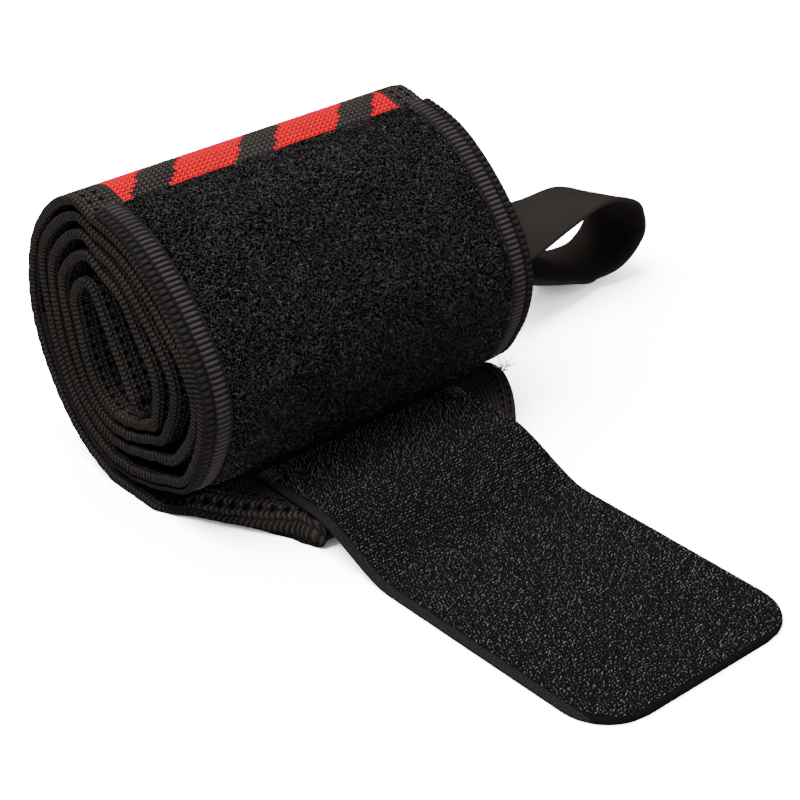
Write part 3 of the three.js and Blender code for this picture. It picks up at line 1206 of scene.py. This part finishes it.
@dataclass
class Panel:
    """The pile panel, its fibres and its two ribbed edges.

    The pile's rise over the band and its line are kept for the fibres that stand on it.
    """

    winding: Winding
    rise: np.ndarray = field(init=False)
    rise_line: np.ndarray = field(init=False)

    def line(self, step: float) -> np.ndarray:
        """The stretch of the winding that the panel covers.

        Args:
            step: Wanted distance between points.

        Returns:
            Evenly spaced points of the band's outer face.
        """
        w = self.winding
        angles = np.arange(w.panel.start, w.panel_end + 30, 0.5)
        points = w.point(angles)
        lengths = lengths_along(points)
        return resample(points[lengths <= w.panel.length + 2.0], step)

    def pile(self, material: bpy.types.Material, rng: np.random.Generator) -> bpy.types.Object:
        """Sweeps the pile's slab: its outer face stands in low tufts and sinks at its four sides.

        Args:
            material: The matted ground.
            rng: Source of the tufts.

        Returns:
            The slab.
        """
        w, p = self.winding, self.winding.panel
        line = self.line(p.pile_step)
        half = w.roll.width / 2 - p.edge_width - p.pile_gap
        base = w.roll.sew_gap
        across = np.linspace(-1, 1, p.pile_columns)
        lengths = lengths_along(line)
        sides = (1 - np.abs(across)[None]) * half
        ends = np.minimum(lengths, lengths[-1] - lengths)[:, None]
        inwards = np.clip(np.minimum(sides, ends) / p.shoulder, 0, 1)
        shoulder = np.sqrt(np.clip(1 - (1 - inwards) ** 2, 0, 1))
        tufts = rng.normal(0, 1, (len(line), len(across)))
        for axis in (0, 1):
            tufts = (np.roll(tufts, 1, axis) + 2 * tufts + np.roll(tufts, -1, axis)) / 4
        rise = base + (p.thickness - p.tuft_room) * (0.45 + 0.55 * shoulder) + tufts * p.tuft - 0.1
        rise = np.clip(rise, base + p.least_pile, base + p.thickness)
        upper = raised(line, across * half, rise)
        lower = raised(line, across[::-1] * half, base)
        self.rise, self.rise_line = rise, line
        v = np.concatenate([across, across[::-1]]) * half
        parts = swept(np.concatenate([upper, lower], axis=1), lengths[:, None], v)
        return kept(parts.to_object("loop_panel_pile", material), Slot.PILE, "loop_panel")

    def fibres(
        self, name: str, thick: float, long: tuple, material: bpy.types.Material, rng: np.random.Generator
    ) -> bpy.types.Object:
        """Strews curled fibres over the pile: each a short arc that leaves the ground and bends back.

        Args:
            name: The piece's name.
            thick: Radius of a fibre.
            long: Least and greatest length of a fibre.
            material: The fibre's finish.
            rng: Source of the places and curls.

        Returns:
            All the fibres as one mesh.
        """
        w, p = self.winding, self.winding.panel
        count, places = p.fibres, 4
        pile = w.roll.width / 2 - p.edge_width
        half = pile + p.fibre_overlap
        lengths = lengths_along(self.rise_line)
        s0 = rng.uniform(0.6, lengths[-1] - 0.6, count)
        x0 = rng.uniform(-half, half, count)
        heading = rng.uniform(0, 2 * np.pi, count)
        span = rng.uniform(*long, count)
        curl = rng.normal(0, 2.6, count)
        t = np.linspace(-0.5, 0.5, places)[None]
        turned = heading[:, None] + curl[:, None] * t
        s = s0[:, None] + span[:, None] * t * np.cos(turned)
        x = np.clip(x0[:, None] + span[:, None] * t * np.sin(turned), -half, half)
        s = np.clip(s, 0.5, lengths[-1] - 0.5)
        lift = 0.02 + rng.uniform(0.05, 0.3, count)[:, None] * (1 - (2 * t) ** 2) - 0.06 * (2 * t) ** 2
        row = s / lengths[-1] * (len(lengths) - 1)
        i = np.clip(row.astype(int), 0, len(lengths) - 2)
        u = (row - i)[..., None]
        base = self.rise_line[i] * (1 - u) + self.rise_line[i + 1] * u
        normals = left_of(self.rise_line)
        normal = unit(normals[i] * (1 - u) + normals[i + 1] * u)
        last = self.rise.shape[1] - 1
        k = np.round(np.clip((x / pile + 1) / 2 * last, 0, last)).astype(int)
        top = w.roll.sew_gap + p.thickness + 0.05
        height = np.minimum(self.rise[i, k] + lift, top)
        paths = np.concatenate([x[..., None], base - normal * height[..., None]], axis=-1)
        radius = thick * rng.uniform(0.7, 1.3, (count, 1))
        parts = tubes(paths, radius, 3, rng.uniform(0, 1, count))
        return kept(parts.to_object(name, material), Slot.PILE)

    def edge(self, side: int, material: bpy.types.Material, node: str) -> bpy.types.Object:
        """Sweeps one edge strip: knit blocks at the band's edge, then cross ribs, then a sewn groove.

        The height over the band is a rounded block in the outer stretch, a cosine rib in the middle
        stretch and a low groove at the pile.

        Args:
            side: -1 for the left edge and 1 for the right one.
            material: The strip's finish.
            node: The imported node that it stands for.

        Returns:
            The strip.
        """
        w, p = self.winding, self.winding.panel
        line = self.line(p.rib_pitch / 8)
        rib_end = p.edge_width - p.groove_width
        blocks = [0.0, 0.06, 0.2, 0.4, *np.linspace(0.65, p.block_width - 0.12, 7)]
        ribs = [p.block_width + step for step in (0.0, 0.14, 0.35)]
        ribs += [*np.linspace(p.block_width + 0.7, rib_end - 0.35, 5), rib_end - 0.1]
        inset = np.array([*blocks, *ribs, rib_end, p.edge_width - 0.2, p.edge_width])
        e, s = inset[None], lengths_along(line)[:, None]
        block_s = np.abs(np.mod(s / p.block_pitch, 1.0) - 0.5) * 2
        block_e = np.abs((e - p.block_width / 2) / (p.block_width / 2))
        block = 0.55 + 0.52 * np.clip(1 - block_s**2.5, 0, 1) * np.clip(1 - block_e**3, 0, 1)
        rib_s = 0.5 + 0.5 * np.cos(s / p.rib_pitch * 2 * np.pi)
        middle, reach = (rib_end + p.block_width) / 2, (rib_end - p.block_width) / 2
        rib = 0.55 + (0.2 + 0.45 * rib_s**0.7) * np.clip(1 - np.abs((e - middle) / reach) ** 6, 0, 1)
        lift = np.where(e < p.block_width, block, np.where(e < rib_end, rib, p.groove_lift))
        lift = np.where(e <= 0.0, 0.3, lift)
        x = side * (w.roll.width / 2 - p.edge_gap - inset * (p.edge_width - p.edge_gap) / p.edge_width)
        upper = raised(line, x, w.roll.sew_gap + np.minimum(lift, p.edge_thickness))
        lower = raised(line, x[::-1][::4], w.roll.sew_gap)
        under = lower.shape[1]
        insets = np.concatenate([inset, np.zeros(under)])
        lifts = np.pad(lift, ((0, 0), (0, under)))
        parts = swept(np.concatenate([upper, lower], axis=1), insets, lifts)
        return kept(parts.to_object(f"{node}_ribs", material), Slot.EDGE, node)


@dataclass
class Tab:
    """The tab of hook tape and the hooks on it."""

    winding: Winding

    def line(self, step: float) -> np.ndarray:
        """The tab's under face: level on the hem, then down to the floor.

        Args:
            step: Distance between points along the tab.

        Returns:
            Y and Z of each point, from under the roll forwards.
        """
        w, tab = self.winding, self.winding.tab
        level = w.roll.hem_length - w.hem_top / 2
        along = np.linspace(0, tab.length, int(round(tab.length / step)) + 1)
        fall = smooth((along - level) / tab.fall)
        return np.stack([w.tab_back - along, w.tab_seat * (1 - fall)], axis=1)

    def half_width(self, from_end: np.ndarray) -> np.ndarray:
        """Half the tab's width, whose free corners are rounded.

        Args:
            from_end: Lengths from the tab's free end.

        Returns:
            Half widths.
        """
        tab = self.winding.tab
        inside = np.maximum(0, tab.corner - from_end)
        return tab.width / 2 - tab.corner + np.sqrt(np.maximum(0, tab.corner**2 - inside**2))

    def build(self, material: bpy.types.Material) -> bpy.types.Object:
        """Sweeps the tape: a thin slab with rounded edges.

        Args:
            material: The woven tape.

        Returns:
            The tape.
        """
        tab = self.winding.tab
        line = self.line(TAB_STEP)
        lengths = lengths_along(line)
        half = self.half_width(lengths[-1] - lengths)
        r = tab.tape / 2
        bend = np.linspace(-np.pi / 2, np.pi / 2, 7)[1:-1]
        flat = np.linspace(-1, 1, 25)
        ones, level = np.ones(len(bend)), np.full(len(flat), r)
        inwards = r * (1 - np.cos(bend))
        side = np.concatenate([flat, ones, flat[::-1], -ones])
        inset = np.concatenate([level, inwards, level, inwards])
        depth = np.concatenate([level - r, r + r * np.sin(bend), level + r, r - r * np.sin(bend)])
        x = side * (half[:, None] - inset)
        parts = swept(raised(line, x, depth), lengths[:, None], x)
        piece = kept(parts.to_object("hook_tab_tape", material), Slot.TAPE, "hook_tab")
        return piece

    def hooks(self, material: bpy.types.Material, rng: np.random.Generator) -> bpy.types.Object:
        """Sets staggered rows of hooks on the tape, each a short thread bent over one way or another.

        Args:
            material: The hook's finish.
            rng: Source of the small differences.

        Returns:
            All the hooks as one mesh.
        """
        tab = self.winding.tab
        line = self.line(TAB_STEP)
        lengths = lengths_along(line)
        left, right = tab.left_selvage, tab.right_selvage
        rows = np.arange(0.8, lengths[-1] - 1.2, tab.hook_pitch * 0.95)
        columns = np.arange(left - tab.width / 2, tab.width / 2 - right, tab.hook_pitch)
        s, x = np.meshgrid(rows, columns, indexing="ij")
        x = x + (np.arange(len(rows)) % 2)[:, None] * tab.hook_pitch / 2
        s, x = s.ravel(), x.ravel()
        s = s + rng.normal(0, 0.1, s.shape)
        x = x + rng.normal(0, 0.1, x.shape)
        half = self.half_width(lengths[-1] - s)
        keep = (x > left - half) & (x < half - right)
        keep &= (s > 0.5) & (s < lengths[-1] - 0.8)
        s, x = s[keep], x[keep]
        count = len(s)

        def at_hooks(table: np.ndarray) -> np.ndarray:
            """Reads a table of the line's stations at each hook."""
            return np.stack([np.interp(s, lengths, table[:, k]) for k in (0, 1)], axis=1)[:, None]

        up = -unit(at_hooks(left_of(line)))
        ahead = unit(at_hooks(unit(np.gradient(line, axis=0))))
        way = rng.uniform(0, 2 * np.pi, count)[:, None]
        bent = np.array([0.0, 0.04, 0.2, 0.3])
        lift = np.array([-0.15, 0.3, 0.42, 0.24]) * rng.uniform(0.8, 1.1, count)[:, None]
        yz = at_hooks(line) + ahead * (bent * np.sin(way))[..., None] + up * (tab.tape + lift)[..., None]
        paths = np.concatenate([(x[:, None] + bent * np.cos(way))[..., None], yz], axis=-1)
        radius = np.array([0.09, 0.085, 0.085, 0.06])
        parts = tubes(paths, radius, 3, rng.uniform(0, 1, count))
        return kept(parts.to_object("hook_tab_hooks", material), Slot.TAPE)

    def tacks(self, material: bpy.types.Material, rng: np.random.Generator) -> bpy.types.Object:
        """Sews a bar tack at each back corner of the tab: close threads side by side, lying across.

        Args:
            material: The thread's finish.
            rng: Source of the small differences.

        Returns:
            The threads as one mesh.
        """
        w, tab = self.winding, self.winding.tab
        top = w.tab_seat + tab.tape
        share = np.linspace(0, 1, 7)
        lift = 0.04 + 0.2 * np.sin(np.pi * share) ** 0.5
        paths = []
        for side in (-1, 1):
            for k in range(tab.tack_threads):
                y = w.tab_back - 0.8 - k * tab.tack_pitch + rng.normal(0, 0.05)
                x0 = side * (tab.width / 2 - 0.3) + rng.normal(0, 0.08)
                x1 = side * (tab.width / 2 - tab.tack_end) + rng.normal(0, 0.2)
                paths.append(np.stack([x0 + (x1 - x0) * share, y + 0.25 * share, top + lift], axis=1))
        radius = np.where((share == 0) | (share == 1), 0.05, 0.1)
        parts = tubes(np.array(paths), radius, 6, rng.uniform(0.2, 0.9, len(paths)))
        return kept(parts.to_object("bar_tacks", material), Slot.TAPE)


@dataclass
class ThumbLoop:
    """The thumb loop: a ribbon on a smooth route, sewn to both faces of the tongue."""

    winding: Winding
    sizes: LoopSizes
    steps: int = 420
    middle: float = 0.86
    ripple: float = 0.004
    ripple_pitch: float = 0.9

    def frames(self) -> tuple[np.ndarray, np.ndarray, np.ndarray, np.ndarray]:
        """Works out the ribbon's centre line and how it is turned.

        The route starts beside one face of the tongue, goes out to the tip and comes back to the
        other face. Lean and skew turn the ribbon's width, which stays square to the line.

        Returns:
            Centres, unit vectors across the ribbon, unit vectors through it, and lengths.
        """
        w, size = self.winding, self.sizes
        radius, end = w.roll.radius, w.roll.width / 2
        middle = (w.line[-1] + w.line[-1 - TONGUE_STEPS]) / 2
        lean = math.radians(w.roll.tongue_lean)
        over = np.array([-math.sin(lean), math.cos(lean)])
        seat = w.roll.sew_gap + size.thickness / 2
        behind = middle - over * (seat + w.roll.thickness)
        before = middle + over * seat
        out = np.array([end - size.root, end - size.root / 2, end, end + size.exit])

        def root(xs: np.ndarray, at: np.ndarray) -> np.ndarray:
            """Rows of the stretch that lies along the tongue."""
            return np.stack(np.broadcast_arrays(xs, at[0], at[1], w.roll.tongue_lean, 0.0), axis=1)

        free = ROUTE * np.array([size.reach, radius, radius, 1, 1]) + np.array([end, middle[0], 0, 0, 0])
        rows = np.vstack([root(out, behind), free, root(out[::-1], before)])
        fine = np.linspace(0, 1, 2401)
        route = catmull(rows[:, :3], fine)
        lengths = lengths_along(route)
        t = np.interp(np.linspace(0, lengths[-1], self.steps + 1), lengths, fine)
        centre = catmull(rows[:, :3], t)
        turned = np.radians(catmull(rows[:, 3:], t))
        along = unit(np.gradient(centre, axis=0))
        tilt, skew = turned.T
        wide = np.stack([np.sin(skew), np.cos(skew) * np.cos(tilt), np.cos(skew) * np.sin(tilt)], axis=1)
        wide = unit(wide - along * np.sum(wide * along, axis=1, keepdims=True))
        through = np.cross(along, wide)
        return centre, wide, through, lengths_along(centre)

    def build(self, material: bpy.types.Material) -> bpy.types.Object:
        """Sweeps the ribbon: a thin slab with round edges that are a little thicker than its middle.

        Args:
            material: The narrow elastic.

        Returns:
            The loop.
        """
        size = self.sizes
        centre, wide, through, lengths = self.frames()
        r = size.thickness / 2
        bend = np.linspace(-np.pi / 2, np.pi / 2, 7)
        flat = np.linspace(-1, 1, 17)[1:-1]
        half = size.width / 2
        thin = r * (self.middle + (1 - self.middle) * np.abs(flat) ** 6)
        across = np.concatenate([flat * (half - r), half - r + r * np.cos(bend), -flat * (half - r)])
        across = np.concatenate([across, -half + r - r * np.cos(bend)])
        depth = np.concatenate([-thin, r * np.sin(bend), thin[::-1], -r * np.sin(bend)])
        wave = 1 + self.ripple * np.sin(lengths / self.ripple_pitch * 2 * np.pi)
        rings = (
            centre[:, None]
            + wide[:, None] * (across[None] * wave[:, None])[..., None]
            + through[:, None] * depth[None, :, None]
        )
        parts = swept(rings, lengths[:, None], across)
        piece = kept(parts.to_object("thumb_loop_elastic", material), Slot.LOOP, "thumb_loop")
        lengths[-1] * METRES
        LOG.info("thumb loop length %.0f mm", lengths[-1])
        return piece


@dataclass
class LooseThreads:
    """Pale thread ends at the right end of the crease between the roll and the hem."""

    winding: Winding
    count: int = 14
    radius: float = 0.075

    def build(self, material: bpy.types.Material, rng: np.random.Generator) -> bpy.types.Object:
        """Curls a few thin threads out of the hem's side.

        Args:
            material: The thread's finish.
            rng: Source of the curls.

        Returns:
            The threads as one mesh.
        """
        w, count = self.winding, self.count
        t = np.linspace(0, 1, 9)[None]
        start = np.array([w.roll.width / 2 - 1.4, w.tab_back + 1.2, w.hem_top * 0.85])
        heading = rng.uniform(-1.0, 1.0, count)[:, None]
        long = rng.uniform(1.6, 3.4, count)[:, None]
        turned = heading + rng.normal(0, 1.3, count)[:, None] * t
        x = start[0] + long * t * np.cos(turned)
        y = start[1] + rng.uniform(-1.2, 0.6, count)[:, None] + long * 0.6 * t * np.sin(turned)
        low = start[2] + rng.uniform(-0.2, 0.1, count)[:, None]
        z = low + long * rng.uniform(0.3, 0.9, count)[:, None] * t
        paths = np.stack([x, y, z], axis=-1)
        parts = tubes(paths, self.radius, 5, rng.uniform(0.5, 1, count))
        return kept(parts.to_object("loose_threads", material), Slot.ELASTIC)


# Stage


@dataclass(frozen=True)
class Camera:
    """Where the photo was taken from: the origin's place in the 800 pixel frame gives the position."""

    yaw: float = 41.3
    pitch: float = 30.5
    focal: float = 2144.0
    origin_x: float = 290.0
    origin_y: float = 419.1
    depth: float = 427.3
    frame: float = 800.0

    def build(self) -> bpy.types.Object:
        """Makes the scene's camera.

        Returns:
            The camera object.
        """
        yaw, pitch = math.radians(self.yaw), math.radians(self.pitch)
        right = Vector((math.cos(yaw), -math.sin(yaw), 0))
        ahead = Vector((math.cos(pitch) * math.sin(yaw), math.cos(pitch) * math.cos(yaw), -math.sin(pitch)))
        up = right.cross(ahead)
        x = (self.origin_x - self.frame / 2) * self.depth / self.focal
        y = (self.frame / 2 - self.origin_y) * self.depth / self.focal
        at = -(right * x + up * y + ahead * self.depth) * METRES
        data = bpy.data.cameras.new("camera")
        data.sensor_width = 36.0
        data.lens = self.focal / self.frame * data.sensor_width
        data.clip_start, data.clip_end = 0.01, 20.0
        made = linked("camera", data)
        turn = Matrix((right, up, -ahead)).transposed().to_4x4()
        made.matrix_world = Matrix.Translation(at) @ turn
        bpy.context.scene.camera = made
        return made


@dataclass(frozen=True)
class Lamp:
    """A soft square light that looks at the wrap."""

    name: str
    place: tuple
    size: float
    power: float

    def build(self) -> bpy.types.Object:
        """Makes the light.

        Returns:
            The light object.
        """
        data = bpy.data.lights.new(self.name, "AREA")
        data.size, data.energy = self.size, self.power
        made = linked(self.name, data)
        at = Vector(self.place)
        turn = (Vector(AIM) - at).to_track_quat("-Z", "Y").to_matrix().to_4x4()
        made.matrix_world = Matrix.Translation(at) @ turn
        return made


AIM = (0.02, -0.02, 0.02)
LAMPS = (
    Lamp("key", (-0.25, 0.15, 0.9), 0.7, 155.0),
    Lamp("fill", (0.3, -0.9, 0.7), 0.9, 29.0),
    Lamp("rim", (0.3, 0.8, 0.7), 0.7, 44.0),
)
FLOOR_REACH = 3.0
SURROUNDINGS = 2.2


def build_stage() -> None:
    """Lays the floor and sets the lights, the pale surroundings and the camera."""
    mesh = bpy.data.meshes.new("floor")
    corners = [(x * FLOOR_REACH, y * FLOOR_REACH, 0) for x, y in ((-1, -1), (1, -1), (1, 1), (-1, 1))]
    mesh.from_pydata(corners, [], [(0, 1, 2, 3)])
    mesh.materials.append(FloorFinish().material())
    linked("floor", mesh)
    for lamp in LAMPS:
        lamp.build()
    world = bpy.data.worlds.new("surroundings")
    world.use_nodes = True
    background = world.node_tree.nodes["Background"].inputs
    background["Color"].default_value = (1.0, 1.0, 1.0, 1.0)
    background["Strength"].default_value = SURROUNDINGS
    bpy.context.scene.world = world
    Camera().build()


def main() -> None:
    """Builds the wrap, piece by piece, then its stage."""
    logging.basicConfig(level=logging.INFO, format="%(message)s")
    rng = np.random.default_rng(SEED)
    sizes = PanelSizes()
    winding = Winding(RollSizes(), sizes, TabSizes())
    bars = winding.length_at(sizes.start)
    Band(winding).build(ElasticFinish(bars - BARS_LENGTH, bars + BARS_UNDER_PANEL).material())
    panel = Panel(winding)
    panel.pile(PileFinish().material(), rng)
    # the lighter fibres carry painted sheen
    pale, dark = SHEEN_FIBRE.material(), DARK_FIBRE.material()
    panel.fibres("loop_panel_fibres", sizes.sheen_fibre_radius, sizes.sheen_fibre_lengths, pale, rng)
    panel.fibres("loop_panel_fibres_low", sizes.dark_radius, sizes.dark_lengths, dark, rng)
    edge = EdgeFinish().material()
    panel.edge(-1, edge, "panel_edge_left")
    panel.edge(1, edge, "panel_edge_right")
    tab = Tab(winding)
    tab.build(TapeFinish().material())
    # the hooks' grey is painted glint
    tab.hooks(HOOK_PAINTED_GLINT.material(), rng)
    tab.tacks(TACK.material(), rng)
    ThumbLoop(winding, LoopSizes()).build(LoopFinish().material())
    LooseThreads(winding).build(LOOSE.material(), rng)
    build_stage()


if __name__ == "__main__":
    main()
